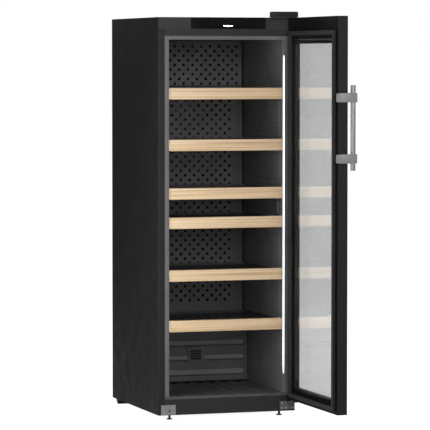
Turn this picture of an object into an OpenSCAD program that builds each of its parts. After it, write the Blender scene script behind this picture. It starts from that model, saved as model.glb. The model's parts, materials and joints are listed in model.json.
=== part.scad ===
// Tall free-standing wine cooler: a cabinet with sliding shelves behind a hinged glass door.
// Millimetres, +Z up. The origin is under the front left levelling foot, on the floor.
// The door is drawn open; every other moving piece is drawn at rest.

/* [Cabinet] */
// Width over the side panels
cab_w = 597; // [594:1:610]
// Depth of the body, without door and wall spacers
cab_d = 690; // [688:1:700]
// Height of the side panels
cab_h = 1642; // [1640:1:1660]
// Height of the side panels' lower edges above the floor
foot_h = 24; // [18:1:24]
// Thickness of the outer steel sheet
sheet = 1.5; // [1:0.1:2]
// Width of the front stiles
stile_w = 28; // [26:1:28]

/* [Interior] */
// Distance from a side panel's outer face to the inner wall's face
wall_x = 50; // [50:1:56]
// Height of the floor of the wine compartment
floor_z = 80; // [78:1:82]
// Height of the ceiling of the wine compartment
ceil_z = 1550; // [1546:1:1552]
// Depth of the upper rear wall
back_y = 560; // [558:1:566]
// Depth of the lower rear wall, in front of the machine space
step_y = 480; // [478:1:482]
// Height of the step over the machine space
step_z = 330; // [326:1:332]
// Pitch of the ribs on the side walls
rib_pitch = 20; // [18:1:24]
// Pitch of the perforations in the rear covers
hole_pitch = 40; // [36:2:44]
// Diameter of a perforation
hole_d = 12; // [6:0.5:13]

/* [Shelves] */
// Height of each shelf front's lower edge, from the top shelf down
shelf_zs = [1304, 1091, 891, 770, 552, 343];
// Height of a wooden shelf front
front_h = 47; // [40:1:48]
// Thickness of a wooden shelf front
front_t = 24; // [18:1:26]
// Depth at which a rack ends
rack_end_y = 500; // [460:1:510]

/* [Door] */
// Width of the door
door_w = 590; // [584:1:592]
// Height of the door
door_h = 1591; // [1585:1:1591]
// Thickness of the door
door_t = 41; // [40:1:42]
// Gap between the cabinet's front and the closed door, filled by the gasket
door_gap = 12; // [11:1:13]
// Height of the door's lower edge above the side panels' lower edge
door_z = 50; // [50:1:51]
// Angle at which the door is drawn
door_angle = 90; // [0:1:105]

/* [Handle] */
// Diameter of the handle bar
bar_d = 20; // [16:0.5:20]
// Length of the handle bar
bar_len = 340; // [320:1:360]
// Distance of the bar's centre from the door's outer face
bar_off = 23; // [23:1:26]

/* [Hidden] */
$fn = 48;

gap = 0.1;             // clearance between fixed neighbours
liner_t = 3;           // thickness of the moulded inner walls
panel_t = 2.5;         // thickness of the rear covers
fascia_z = 1594.5;     // lower edge of the fascia
fascia_t = 10;         // depth of the fascia
rail_z = 1565;         // lower edge of the upper front rail
plinth_h = 66;         // height of the plinth
comp_y = 498;          // front of the machine space
comp_z = 290.6;        // ceiling of the machine space
foot_x = 65;           // front left foot, from the left side
foot_y = 58;           // both front feet, from the front
right_foot_x = 547;    // front right foot, from the left side
stem_r = 5;            // threaded stem of a foot
stem_top = 20;         // how far it reaches into the cabinet
roller_y = 640;        // axle of the rear rollers
roller_r = 18;
roller_w = 45;
roller_x = 9;          // side of the left roller, from the left side
axle_r = 3;
running = 0.05;        // radial clearance of a running fit
mid_x = cab_w / 2;

// Door hinge: the pin stands pin_u from the hinge edge and pin_v from the inner face.
pin_u = 18.5;
pin_v = 14.5;
pin_r = 5;
pin_len = 30;
bush_r = 9;
pin_x = cab_w - pin_u;
pin_y = -door_gap - pin_v;

// Borders of the door's rings, from the door's outer edges: [sides, bottom, top]
lip_b = [46, 43, 89];
pocket_b = [38, 35, 81];
pane_b = [38.4, 35.4, 81.4];
clear_b = [52, 53, 108];
skin_b = [42, 49, 101];
gasket_b = [27, 12, 56];
gasket_w = 18;
groove_w = 8;
lip_t = 8;
outer_pane_t = 5;
inner_pane_t = 4;
outer_pane_v = door_t - sheet - gap - outer_pane_t;
arm_h = 37;
arm_ws = [1005, 1248];
handle_u = door_w + 2.3;
handle_t = 5.7;
bar_u = door_w - 3;
bar_v = door_t + bar_off;
bar_w = 976;

module in_frame() translate([-foot_x, -foot_y, foot_h]) children();

module block(lo, hi) translate(lo) cube(hi - lo);

module both_sides() {
    children();
    translate([cab_w, 0, 0]) mirror([1, 0, 0]) children();
}

// Extrudes a drawing made in X and Z towards the back, from y0 to y1.
module sweep_y(y0, y1) translate([0, y1, 0]) rotate([90, 0, 0]) linear_extrude(y1 - y0) children();

// Turns door coordinates into the cabinet's: u from the hinge edge, v outwards, w up.
module on_door() {
    in_frame()
        translate([pin_x, pin_y, door_z])
            rotate([0, 0, door_angle])
                translate([pin_u, pin_v, 0])
                    rotate([0, 0, 180])
                        children();
}

// A rectangular ring on the door between two borders, from v0 to v1.
module door_ring(outer, inner, v0, v1) {
    difference() {
        block([outer[0], v0, outer[1]], [door_w - outer[0], v1, door_h - outer[2]]);
        block([inner[0], v0 - 1, inner[1]], [door_w - inner[0], v1 + 1, door_h - inner[2]]);
    }
}

// ---------------------------------------------------------------- outer cabinet

module side_panel() {
    block([0, 0, 0], [sheet, cab_d, cab_h]);
    block([0, 0, 0], [stile_w, sheet, fascia_z - gap]);
    block([0, cab_d - sheet, 0], [12, cab_d, cab_h]);
}

module side_panel_left() color("#26262a") in_frame() side_panel();

module side_panel_right() color("#26262a") in_frame()
    translate([cab_w, 0, 0]) mirror([1, 0, 0]) side_panel();

module top_panel() color("#26262a") in_frame()
    block([sheet + gap, fascia_t + gap, cab_h - sheet],
          [cab_w - sheet - gap, cab_d - sheet - gap, cab_h]);

module rear_panel() color("#303034") in_frame() {
    x0 = sheet + gap;
    x1 = cab_w - sheet - gap;
    y1 = cab_d - sheet - gap;
    block([x0, y1 - sheet, comp_z], [x1, y1, cab_h - sheet - gap]);
    block([x0, comp_y, comp_z], [x1, y1, comp_z + sheet]);
    block([x0, comp_y, sheet + gap], [x1, comp_y + sheet, comp_z + sheet]);
}

ear_t = 2.5;                 // ears that hold a roller's axle
ear_gap = 0.5;

module roller_ears() {
    for (x = [roller_x - ear_gap - ear_t, roller_x + roller_w + ear_gap])
        block([x, roller_y - 12, -10], [x + ear_t, roller_y + 12, sheet]);
    translate([roller_x - ear_gap - ear_t, roller_y, roller_r - foot_h])
        rotate([0, 90, 0]) cylinder(r = axle_r, h = roller_w + 2 * (ear_gap + ear_t));
}

module base_pan() color("#3a3a3e") in_frame() {
    difference() {
        union() {
            block([sheet + gap, sheet + gap, 0],
                  [cab_w - sheet - gap, cab_d - sheet - gap, sheet]);
            for (x = [foot_x, right_foot_x])
                translate([x, foot_y, 0]) cylinder(r = stem_r + 5, h = 12);
        }
        for (x = [foot_x, right_foot_x])
            translate([x, foot_y, -1]) cylinder(r = stem_r + running, h = stem_top);
        both_sides()
            block([roller_x - 0.4, roller_y - roller_r - 4, -1],
                  [roller_x + roller_w + 0.4, roller_y + roller_r + 4, 3]);
        for (i = [0:9])
            block([140 + i * 34, 640, -1], [158 + i * 34, 670, 3]);
    }
    both_sides() roller_ears();
}

module front_rails() color("#3c3c3f") in_frame() {
    x0 = stile_w + gap;
    x1 = cab_w - stile_w - gap;
    block([x0, 0, rail_z], [x1, sheet, fascia_z - gap]);
    block([x0, 0, 0], [x1, sheet, plinth_h]);
}

module corner_plate() color("#8f9192") in_frame() difference() {
    block([11, -plate_t, 1], [74, 0, 43]);
    for (p = plate_screws)
        translate([p[0], 1, p[1]]) rotate([90, 0, 0]) cylinder(r = 2.6, h = 5);
    translate([48, 1, 18]) rotate([90, 0, 0]) cylinder(r = 4.5, h = 5);
}

module wall_spacers() color("#1c1c1e") in_frame() both_sides()
    difference() {
        block([40, cab_d - sheet, 1540], [70, cab_d + 20, 1590]);
        block([44, cab_d + 2, 1530], [66, cab_d + 14, 1600]);
    }

// ---------------------------------------------------------------- inner walls

post_x = wall_x - 4;         // inner face of the light posts
post_t = 5;                  // thickness of a light post
post_d = 24;                 // depth of a light post
light_y = [1.5, 20.5];       // groove of a light column, from front to back
light_t = 2;                 // depth of that groove
front_z = floor_z - liner_t; // lower edge of the inner walls
light_z = [155, 1487];       // lower and upper end of the light columns
rib_t = 3;                   // how far the ribs stand out
rib_z0 = 345;
rib_n = 50;
ledge_t = 4;
ledge_w = 16;
rack_z = 28;                 // underside of a rack above its front's lower edge
rack_t = 3;

// One tooth of the ribbed wall: a flat crest with sloping flanks.
function rib(i) = let (z = rib_z0 + i * rib_pitch)
    [[wall_x, z], [wall_x + rib_t, z + 2], [wall_x + rib_t, z + 8], [wall_x, z + 10]];

module side_wall() {
    difference() {
        union() {
            block([wall_x - liner_t, post_d - 3, front_z], [wall_x, back_y - gap, ceil_z - gap]);
            block([stile_w + gap, 0, front_z], [post_x, 2, ceil_z - gap]);
            block([post_x - post_t, 0, front_z], [post_x, post_d, ceil_z - gap]);
            block([post_x - post_t, post_d - 3, front_z], [wall_x, post_d, ceil_z - gap]);
        }
        block([post_x - light_t, light_y[0], light_z[0]], [post_x + 1, light_y[1], light_z[1]]);
        block([wall_x - 10, step_y + liner_t, 0], [wall_x + 10, back_y + 10, step_z]);
    }
    sweep_y(57, 515)
        polygon(concat([[wall_x - 1, rib_z0]],
                       [for (i = [0:rib_n - 1]) each rib(i)],
                       [[wall_x - 1, rib_z0 + rib_n * rib_pitch]]));
    for (z = shelf_zs)
        block([wall_x - 1, 40, z + rack_z - ledge_t - 0.3],
              [wall_x + ledge_w, rack_end_y + 5, z + rack_z - 0.3]);
}

module liner_side_walls() color("#4a4a4d") in_frame() both_sides() side_wall();

module liner_ceiling() color("#3e3e41") in_frame() {
    block([wall_x - liner_t, 2, ceil_z], [cab_w - wall_x + liner_t, back_y + liner_t, ceil_z + liner_t]);
    block([stile_w + gap, 0, ceil_z], [cab_w - stile_w - gap, 2, rail_z - gap]);
}

module liner_back() color("#29292b") in_frame() {
    x0 = wall_x + gap;
    x1 = cab_w - wall_x - gap;
    block([x0, back_y, step_z], [x1, back_y + liner_t, ceil_z - gap]);
    block([x0, step_y, step_z], [x1, back_y + liner_t, step_z + liner_t]);
    block([x0, step_y, tray_z], [x1, step_y + liner_t, step_z + liner_t]);
}

wave_pitch = 58;             // corrugation of the compartment floor
wave_h = 3.5;
tray_z = 70;                 // underside of the moulded floor
foam_z = 32;                 // underside of the insulation
wave_x = [wall_x + 2, cab_w - wall_x - 2];
function wave_z(x) = floor_z - wave_h + wave_h * sin(360 * (x - wave_x[0]) / wave_pitch);

module floor_tray() color("#3c3c3f") in_frame() {
    x0 = wall_x + gap;
    x1 = cab_w - wall_x - gap;
    top = [for (i = [0:68]) let (x = wave_x[0] + i * (wave_x[1] - wave_x[0]) / 68) [x, wave_z(x)]];
    sweep_y(24, step_y - gap)
        polygon(concat([[x0, tray_z], [x0, floor_z]], top, [[x1, floor_z], [x1, tray_z]]));
    block([post_x + gap, 2, tray_z], [cab_w - post_x - gap, 24, front_z]);
    block([stile_w + gap, 0, plinth_h + gap], [cab_w - stile_w - gap, 2, front_z - gap]);
}

module insulation_foam() color("#e6d9a8") in_frame() difference() {
    block([sheet + gap, 2.1, foam_z],
          [cab_w - sheet - gap, cab_d - 2 * sheet - 2 * gap, cab_h - sheet - gap]);
    block([wall_x - liner_t - gap, -1, step_z - gap],
          [cab_w - wall_x + liner_t + gap, back_y + liner_t + gap, ceil_z + liner_t + gap]);
    block([wall_x - liner_t - gap, -1, tray_z - gap],
          [cab_w - wall_x + liner_t + gap, step_y + liner_t + gap, step_z + 1]);
    block([post_x - post_t - gap, -1, tray_z - gap],
          [cab_w - post_x + post_t + gap, post_d + gap, ceil_z + liner_t + gap]);
    block([0, comp_y - gap, 0], [cab_w, cab_d, comp_z + sheet + gap]);
    block([0, 0, fascia_z - 2], [cab_w, 62, cab_h]);
}

// ---------------------------------------------------------------- rear covers

// Staggered round holes: rows alternate between two sets of places about the middle.
module perforations(z_top, rows, half_width) {
    for (r = [0:rows - 1]) {
        shift = (r % 2 == 0) ? hole_pitch / 2 : 0;
        n = floor((half_width - shift) / hole_pitch);
        first = (shift == 0) ? 1 : 0;
        if (shift == 0) translate([mid_x, z_top - r * hole_pitch / 2]) circle(d = hole_d, $fn = 24);
        for (i = [first:n], side = [-1, 1])
            translate([mid_x + side * (shift + i * hole_pitch), z_top - r * hole_pitch / 2])
                circle(d = hole_d, $fn = 24);
    }
}

module upper_duct_cover() color("#3a3a3c") in_frame() {
    sweep_y(540, 540 + panel_t) difference() {
        translate([wall_x + 5, 1356]) square([cab_w - 2 * wall_x - 10, ceil_z - 1 - 1356]);
        perforations(1525, 9, 226);
    }
    both_sides() block([wall_x + 5, 540, 1356], [wall_x + 7, back_y - gap, ceil_z - 1]);
}

cover_x = 105;               // left edge of the middle cover's raised part

module middle_duct_cover() color("#303032") in_frame() {
    sweep_y(518, 518 + panel_t) difference() {
        translate([cover_x, 336]) square([cab_w - 2 * cover_x, 1016]);
        perforations(1330, 46, 186);
    }
    both_sides() {
        block([cover_x, 518, 336], [cover_x + 2, back_y - gap, 1352]);
        sweep_y(532, 534) difference() {
            translate([wall_x + 5, 336]) square([cover_x - wall_x - 4, 1016]);
            for (i = [0:39]) translate([72, 350 + i * 25]) square([3, 12]);
        }
    }
}

band_zs = [[106, 138], [171, 200], [234, 264]];

// A raised band with pointed ends.
module band(z0, z1) polygon([
    [72, z0], [cab_w - 72, z0], [cab_w - 60, (z0 + z1) / 2], [cab_w - 72, z1],
    [72, z1], [60, (z0 + z1) / 2]
]);

vent_x = [272, 346];
vent_z = [166, 232];

module lower_back_cover() color("#444446") in_frame() difference() {
    union() {
        block([wall_x + 2, 473, floor_z + 4], [cab_w - wall_x - 2, 473 + panel_t, step_z - 2]);
        sweep_y(467, 474) for (b = band_zs) band(b[0], b[1]);
    }
    block([vent_x[0] - gap, 460, vent_z[0] - gap], [vent_x[1] + gap, 480, vent_z[1] + gap]);
}

module filter_grille() color("#4c4c4e") in_frame() difference() {
    block([vent_x[0], 465, vent_z[0]], [vent_x[1], 475, vent_z[1]]);
    for (i = [0:3])
        block([vent_x[0] + 12, 464, vent_z[0] + 12 + i * 11], [vent_x[1] - 12, 476, vent_z[0] + 18 + i * 11]);
}

module light_columns() color("white") in_frame() both_sides()
    block([post_x - light_t + gap, light_y[0] + gap, light_z[0] + gap],
          [post_x, light_y[1] - gap, light_z[1] - gap]);

// ---------------------------------------------------------------- fascia

panel_x = [141, 467];        // ends of the control panel

module fascia_caps() color("#3f3f42") in_frame() {
    difference() {
        block([sheet + gap, 0, fascia_z], [panel_x[0] - gap, fascia_t, cab_h]);
        block([75.5, -1, fascia_z - 1], [78.5, 1, 1622]);
    }
    block([panel_x[1] + gap, 0, fascia_z], [cab_w - sheet - gap, fascia_t, cab_h]);
}

module control_panel() color("#0c0c0d") in_frame() difference() {
    block([panel_x[0], 0, fascia_z], [panel_x[1], fascia_t, cab_h]);
    block([280, -1, 1603], [326, 1, 1611]);
}

module control_board() color("#1d5c34") in_frame() {
    block([160, 14, 1604], [440, 56, 1606]);
    block([180, 20, 1606], [214, 50, 1626]);
    block([240, 20, 1606], [262, 44, 1620]);
    for (i = [0:3]) translate([300 + i * 28, 34, 1606]) cylinder(r = 7, h = 16);
}

// ---------------------------------------------------------------- hinges and screws

top_screws = [[512, 22], [526, 52], [570, 52]];
low_screws = [[538, 13], [538, 34], [556, 13], [586, 13]];
plate_screws = [[22, 12], [22, 32], [62, 32]];

module top_hinge_bracket() color("#55565a") in_frame() difference() {
    union() {
        translate([0, 0, cab_h]) linear_extrude(4)
            polygon([[482, -40], [590, -40], [590, 66], [514, 66], [482, -24]]);
        translate([pin_x, pin_y, cab_h - pin_len]) cylinder(r = pin_r, h = pin_len + 1);
    }
    for (p = top_screws) translate([p[0], p[1], cab_h - 1]) cylinder(r = 3.1, h = 6);
}

cap_x = [475, 594];          // ends of the hinge cover
cap_y = [-45, 72];
cap_h = 24;
cap_t = 2;
cap_taper_y = -29;           // where its left side starts to run inwards
cap_taper = 0.33;            // how far it runs inwards for each millimetre of depth

// Outline of the cover seen from the front, with round upper corners.
module cover_outline(inset) {
    r = 5 - inset / 2;
    x0 = cap_x[0] + inset;
    x1 = cap_x[1] - inset;
    z0 = cab_h + 1.5 - (inset > 0 ? 1 : 0);
    z1 = cab_h + cap_h - inset;
    translate([x0, z0]) square([x1 - x0, z1 - r - z0]);
    translate([x0 + r, z0]) square([x1 - x0 - 2 * r, z1 - z0]);
    for (x = [x0 + r, x1 - r]) translate([x, z1 - r]) circle(r = r, $fn = 32);
}

// The cover's body, narrower towards the back.
module cover_body(inset) difference() {
    sweep_y(cap_y[0] + inset, cap_y[1] - inset) cover_outline(inset);
    x0 = cap_x[0] + 1.05 * inset;
    run = cap_y[1] + 8 - cap_taper_y;
    translate([0, 0, cab_h - 5]) linear_extrude(cap_h + 10)
        polygon([[cap_x[0] - 20, cap_taper_y], [x0, cap_taper_y],
                 [x0 + cap_taper * run, cap_taper_y + run], [cap_x[0] - 20, cap_taper_y + run]]);
}

module top_hinge_cover() color("#232325") in_frame() difference() {
    cover_body(0);
    cover_body(cap_t);
}

module lower_hinge_bracket() color("#4d4e50") in_frame() difference() {
    union() {
        block([530, -hinge_t, 6], [595, 0, 41]);
        block([558, -40, 37], [595, -0.5, 41]);
        translate([pin_x, pin_y, 40]) cylinder(r = pin_r, h = door_z + pin_len - 40);
        translate([pin_x, pin_y, 40]) cylinder(r = 8, h = door_z - 0.4 - 40);
    }
    for (p = low_screws)
        translate([p[0], 1, p[1]]) rotate([90, 0, 0]) cylinder(r = 2.6, h = 5);
}

plate_t = 2;                 // thickness of the corner plate
hinge_t = 3;                 // thickness of the lower hinge bracket

// A screw whose shank fills a plate of thickness t, with its slotted head in front.
module front_screw(t) rotate([90, 0, 0]) difference() {
    union() {
        cylinder(r = 2.5, h = t);
        translate([0, 0, t]) cylinder(r = 4.6, h = 1.8);
    }
    translate([-2.6, -0.5, t + 1]) cube([5.2, 1, 2]);
}

module screws() color("#b9babc") in_frame() {
    for (p = plate_screws) translate([p[0], 0, p[1]]) front_screw(plate_t);
    for (p = low_screws) translate([p[0], 0, p[1]]) front_screw(hinge_t);
    for (p = top_screws) translate([p[0], p[1], cab_h]) {
        cylinder(r = 3, h = 4);
        translate([0, 0, 4]) cylinder(r = 5.5, h = 3, $fn = 6);
    }
}

// ---------------------------------------------------------------- feet and rollers

pad_r = 12;                  // pad of a foot
pad_h = 4;
nut_h = 5;                   // lock nut under the base pan
nut_gap = 0.5;

module foot(x) in_frame() translate([x, foot_y, -foot_h]) {
    cylinder(r = pad_r, h = pad_h);
    translate([0, 0, pad_h]) cylinder(r1 = stem_r + 3, r2 = stem_r, h = 2);
    translate([0, 0, foot_h - nut_gap - nut_h]) cylinder(r = stem_r + 3, h = nut_h, $fn = 6);
    cylinder(r = stem_r, h = foot_h + stem_top);
}

module front_left_foot() color("#1a1a1b") foot(foot_x);

module front_right_foot() color("#1a1a1b") foot(right_foot_x);

module roller(x) in_frame() translate([x, roller_y, roller_r - foot_h]) rotate([0, 90, 0])
    rotate_extrude($fn = 64) polygon([
        [axle_r + running, 0], [roller_r - 2, 0], [roller_r, 2],
        [roller_r, roller_w - 2], [roller_r - 2, roller_w], [axle_r + running, roller_w]
    ]);

module rear_left_roller() color("#171718") roller(roller_x);

module rear_right_roller() color("#171718") roller(cab_w - roller_x - roller_w);

// ---------------------------------------------------------------- cooling machine

comp_x = 430;                // compressor's axis
comp_axis_y = 598;
comp_foot = [52, 44];        // half distances between its mounts

module compressor() color("#1b1b1d") in_frame() translate([comp_x, comp_axis_y, 0]) {
    rotate_extrude($fn = 64) polygon([
        [0, 32], [40, 34], [56, 42], [62, 56], [62, 96], [65, 98], [65, 102], [62, 104],
        [62, 140], [56, 158], [40, 172], [0, 178]
    ]);
    difference() {
        block([-64, -56, 28], [64, 56, 33]);
        for (sx = [-1, 1], sy = [-1, 1])
            translate([sx * comp_foot[0], sy * comp_foot[1], 20]) cylinder(r = 6.1, h = 20);
    }
    block([-96, -26, 70], [-61, 26, 128]);
}

module compressor_mounts() color("#2b2b2b") in_frame()
    for (sx = [-1, 1], sy = [-1, 1])
        translate([comp_x + sx * comp_foot[0], comp_axis_y + sy * comp_foot[1], 11]) {
            cylinder(r = 11, h = 16.9);
            cylinder(r = 6, h = 27);
        }

module compressor_carrier() color("#6d6f72") in_frame() {
    block([60, 525, 8], [537, 672, 11]);
    for (y = [525, 669]) block([60, y, sheet + gap], [537, y + 3, 11]);
}

module evaporation_dish() color("#2e2e30") in_frame() difference() {
    block([358, 538, 179], [502, 658, 210]);
    block([360, 540, 181], [500, 656, 212]);
}

tube_r = 2.5;
coil_y = cab_d + 9;
coil_x = [90, cab_w - 90];
coil_z0 = 370;
coil_pitch = 60;
coil_n = 19;

module condenser() color("#19191a") in_frame() {
    for (i = [0:coil_n - 1])
        translate([coil_x[0] + 0.02, coil_y, coil_z0 + i * coil_pitch])
            rotate([0, 90, 0]) cylinder(r = tube_r, h = coil_x[1] - coil_x[0] - 0.04, $fn = 24);
    for (i = [0:coil_n - 2])
        translate([coil_x[(i + 1) % 2], coil_y, coil_z0 + (i + 0.5) * coil_pitch])
            rotate([90, (i % 2 == 0) ? 90 : -90, 0])
                rotate_extrude(angle = 180, $fn = 48)
                    translate([coil_pitch / 2, 0]) circle(r = tube_r, $fn = 24);
    for (x = [104 : 14 : cab_w - 100])
        translate([x, coil_y + tube_r + 0.95, coil_z0 - 10])
            cylinder(r = 0.9, h = (coil_n - 1) * coil_pitch + 20, $fn = 16);
    for (i = [1, coil_n - 2], x = [98, cab_w - 104])
        block([x, cab_d - sheet, coil_z0 + i * coil_pitch - 3],
              [x + 6, coil_y - tube_r - 0.02, coil_z0 + i * coil_pitch + 3]);
}

// A bent tube: straight runs between the listed points, with a ball at each bend.
module tube_run(points, r) {
    for (i = [0:len(points) - 2]) {
        v = points[i + 1] - points[i];
        translate(points[i]) rotate([0, acos(v[2] / norm(v)), atan2(v[1], v[0])])
            cylinder(r = r, h = norm(v), $fn = 24);
    }
    for (i = [1:1:len(points) - 2]) translate(points[i]) sphere(r = r, $fn = 24);
}

module refrigerant_pipes() color("#b06a3c") in_frame() {
    top = coil_z0 + (coil_n - 1) * coil_pitch;
    tube_run([[492.1, comp_axis_y, 110], [560, comp_axis_y, 110], [560, comp_axis_y, 270],
              [560, coil_y, 270],
              [560, coil_y, top], [coil_x[1] + gap, coil_y, top]], 3);
    tube_run([[coil_x[0] - gap, coil_y, coil_z0], [54, coil_y, coil_z0], [54, coil_y, 262], [54, 650, 262],
              [80, 650, 262], [80, 650, 250]], 2.5);
    translate([80, 650, 140]) cylinder(r = 9, h = 110);
    tube_run([[80, 650, 140.1], [80, 650, 60], [220, 650, 60], [220, 560, 60], [220, 560, comp_z - gap]], 1.6);
    tube_run([[367.9, comp_axis_y, 140], [320, comp_axis_y, 140], [320, 540, 140],
              [320, 540, comp_z - gap]], 4);
}

module mains_inlet() color("#141415") in_frame() {
    difference() {
        block([120, 600, 205], [190, 684, comp_z - gap]);
        block([143, 668, 236], [167, 690, 252]);
    }
    for (x = [148, 155, 162]) block([x - 1, 667, 242], [x + 1, 680, 246]);
}

module evaporator() color("#b7bcc0") in_frame() {
    for (z = [985 : 46 : 1215])
        translate([132, 540, z]) rotate([0, 90, 0]) cylinder(r = 4, h = 336);
    translate([0, 0, 975]) linear_extrude(250)
        polygon(concat([[140, 536]],
                       [for (i = [0:31]) each [[140 + i * 10, 528], [143 + i * 10, 528],
                                               [143 + i * 10, 536], [150 + i * 10, 536]]],
                       [[460, 552], [140, 552]]));
}

fan_z = 1290;
fan_y = 524;

module fan_frame() color("#202022") in_frame() {
    difference() {
        block([mid_x - 60, fan_y, fan_z - 60], [mid_x + 60, fan_y + 25, fan_z + 60]);
        translate([mid_x, fan_y + 30, fan_z]) rotate([90, 0, 0]) cylinder(r = 56, h = 40, $fn = 64);
    }
    translate([mid_x, fan_y + 25, fan_z]) rotate([90, 0, 0]) cylinder(r = 18, h = 3);
    translate([mid_x, fan_y + 25, fan_z]) rotate([90, 0, 0]) cylinder(r = 2.5, h = 20);
    for (a = [45, 135])
        translate([mid_x, 0, fan_z]) rotate([0, a, 0])
            block([-58, fan_y + 22.5, -3], [58, fan_y + 25, 3]);
}

module fan_rotor() color("#2c2c2f") in_frame() translate([mid_x, fan_y + 21, fan_z]) rotate([90, 0, 0])
    difference() {
        union() {
            cylinder(r = 20, h = 18);
            for (i = [0:6])
                rotate([0, 0, i * 360 / 7]) translate([16, -10, 3])
                    rotate([28, 0, 0]) cube([37, 20, 1.6]);
        }
        translate([0, 0, -1]) cylinder(r = 2.5 + running, h = 30);
    }

// ---------------------------------------------------------------- shelves

shelf_x0 = wall_x + 3.5;      // left end of a shelf front

module shelf_front(k) color("#d9b887") in_frame() {
    z = shelf_zs[k - 1];
    x0 = shelf_x0;
    w = cab_w - 2 * shelf_x0;
    c = 2;
    translate([x0, 0, z]) rotate([90, 0, 90]) linear_extrude(w)
        polygon([[4 + c, 0], [4 + front_t, 0], [4 + front_t, front_h], [4 + c, front_h],
                 [4, front_h - c], [4, c]]);
}

slat_pitch = 17;
slat_n = 27;

module shelf_rack(k) color("#202022") in_frame() {
    y0 = 4 + front_t;
    z = shelf_zs[k - 1] + rack_z;
    x0 = shelf_x0 + 1;
    w = cab_w - 2 * x0;
    side = (w - (slat_n - 1) * slat_pitch - 8) / 2;
    translate([0, 0, z]) linear_extrude(rack_t) difference() {
        translate([x0, y0]) square([w, rack_end_y - y0]);
        for (i = [0:slat_n - 1], y = [[y0 + 14, 250], [266, rack_end_y - 14]])
            translate([x0 + side + i * slat_pitch, y[0]]) square([8, y[1] - y[0]]);
    }
    for (x = [x0, cab_w - x0 - 2.5]) block([x, y0, z + rack_t - 0.5], [x + 2.5, rack_end_y, z + 12]);
    block([x0, rack_end_y - 2.5, z + rack_t - 0.5], [cab_w - x0, rack_end_y, z + 12]);
}

// ---------------------------------------------------------------- door

module door_outer_frame() color("#1d1d20") on_door() difference() {
    union() {
        door_ring([0, 0, 0], skin_b, door_t - sheet, door_t);
        door_ring([0, 0, 0], [sheet, sheet, sheet], 0, door_t);
    }
    translate([pin_u, pin_v, -1]) cylinder(r = bush_r, h = door_h + 2);
}

module door_inner_frame() color("#343437") on_door() difference() {
    edge = sheet + gap;
    union() {
        door_ring([edge, edge, edge], lip_b, 0, lip_t);
        door_ring([edge, edge, edge], pocket_b, lip_t - 1, door_t - sheet - gap);
    }
    for (w = [-1, door_h - pin_len - 2])
        translate([pin_u, pin_v, w]) cylinder(r = bush_r, h = pin_len + 3);
    g = (gasket_w - groove_w) / 2;
    door_ring([gasket_b[0] + g, gasket_b[1] + g, gasket_b[2] + g],
              [gasket_b[0] + g + groove_w, gasket_b[1] + g + groove_w, gasket_b[2] + g + groove_w],
              -1, 5);
}

module hinge_bushes() color("#d8d4c8") on_door()
    for (w = [0, door_h - pin_len])
        translate([pin_u, pin_v, w]) difference() {
            cylinder(r = bush_r - 0.02, h = pin_len);
            translate([0, 0, -1]) cylinder(r = pin_r + running, h = pin_len + 2);
        }

module door_gasket() color("#2b2b2d") on_door() {
    g = (gasket_w - groove_w) / 2 + 0.1;
    outer = gasket_b;
    inner = [for (b = gasket_b) b + gasket_w];
    foot_out = [for (b = gasket_b) b + g];
    foot_in = [for (b = gasket_b) b + gasket_w - g];
    door_ring(outer, inner, -door_gap + 0.3, -0.05);
    door_ring(foot_out, foot_in, -1, 4.8);
}

module glass_panes() color("#9aa0a0", 0.45) on_door()
    for (v = [[lip_t + gap, lip_t + inner_pane_t], [outer_pane_v, outer_pane_v + outer_pane_t]])
        block([pane_b[0], v[0], pane_b[1]], [door_w - pane_b[0], v[1], door_h - pane_b[2]]);

module glazing_spacer() color("#0a0a0a") on_door()
    door_ring([pane_b[0] + 1, pane_b[1] + 1, pane_b[2] + 1], clear_b,
              lip_t + inner_pane_t + 0.02, outer_pane_v - 0.02);

module handle_base_plates() color("#8b8d8f") on_door()
    for (w = arm_ws) block([door_w, 3, w], [door_w + 2, door_t - 3, w + arm_h]);

module handle_bar() color("#b4b5b6") on_door() {
    translate([bar_u, bar_v, bar_w]) cylinder(r = bar_d / 2, h = bar_len, $fn = 64);
    for (w = arm_ws) difference() {
        union() {
            block([handle_u, 8, w], [handle_u + handle_t, bar_v + 15, w + arm_h]);
            block([bar_u - 12, bar_v - 14, w], [handle_u + handle_t, bar_v + 15, w + arm_h]);
        }
        translate([bar_u, bar_v, w - 1]) cylinder(r = bar_d / 2 + 0.02, h = arm_h + 2, $fn = 64);
    }
}

module handle_pushers() color("#8f9193") on_door()
    for (w = arm_ws)
        block([handle_u, -10, w + 2], [handle_u + handle_t, 7.7, w + arm_h - 2]);

side_panel_left();
side_panel_right();
top_panel();
rear_panel();
base_pan();
front_rails();
liner_side_walls();
liner_ceiling();
liner_back();
floor_tray();
insulation_foam();
upper_duct_cover();
middle_duct_cover();
lower_back_cover();
filter_grille();
light_columns();
fascia_caps();
control_panel();
control_board();
top_hinge_bracket();
top_hinge_cover();
lower_hinge_bracket();
corner_plate();
screws();
front_left_foot();
front_right_foot();
rear_left_roller();
rear_right_roller();
compressor();
compressor_mounts();
compressor_carrier();
evaporation_dish();
condenser();
refrigerant_pipes();
mains_inlet();
evaporator();
fan_frame();
fan_rotor();
wall_spacers();
shelf_front(1);  // shelf_front_1
shelf_front(2);  // shelf_front_2
shelf_front(3);  // shelf_front_3
shelf_front(4);  // shelf_front_4
shelf_front(5);  // shelf_front_5
shelf_front(6);  // shelf_front_6
shelf_rack(1);  // shelf_rack_1
shelf_rack(2);  // shelf_rack_2
shelf_rack(3);  // shelf_rack_3
shelf_rack(4);  // shelf_rack_4
shelf_rack(5);  // shelf_rack_5
shelf_rack(6);  // shelf_rack_6
door_outer_frame();
door_inner_frame();
door_gasket();
glass_panes();
glazing_spacer();
hinge_bushes();
handle_base_plates();
handle_bar();
handle_pushers();
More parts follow.
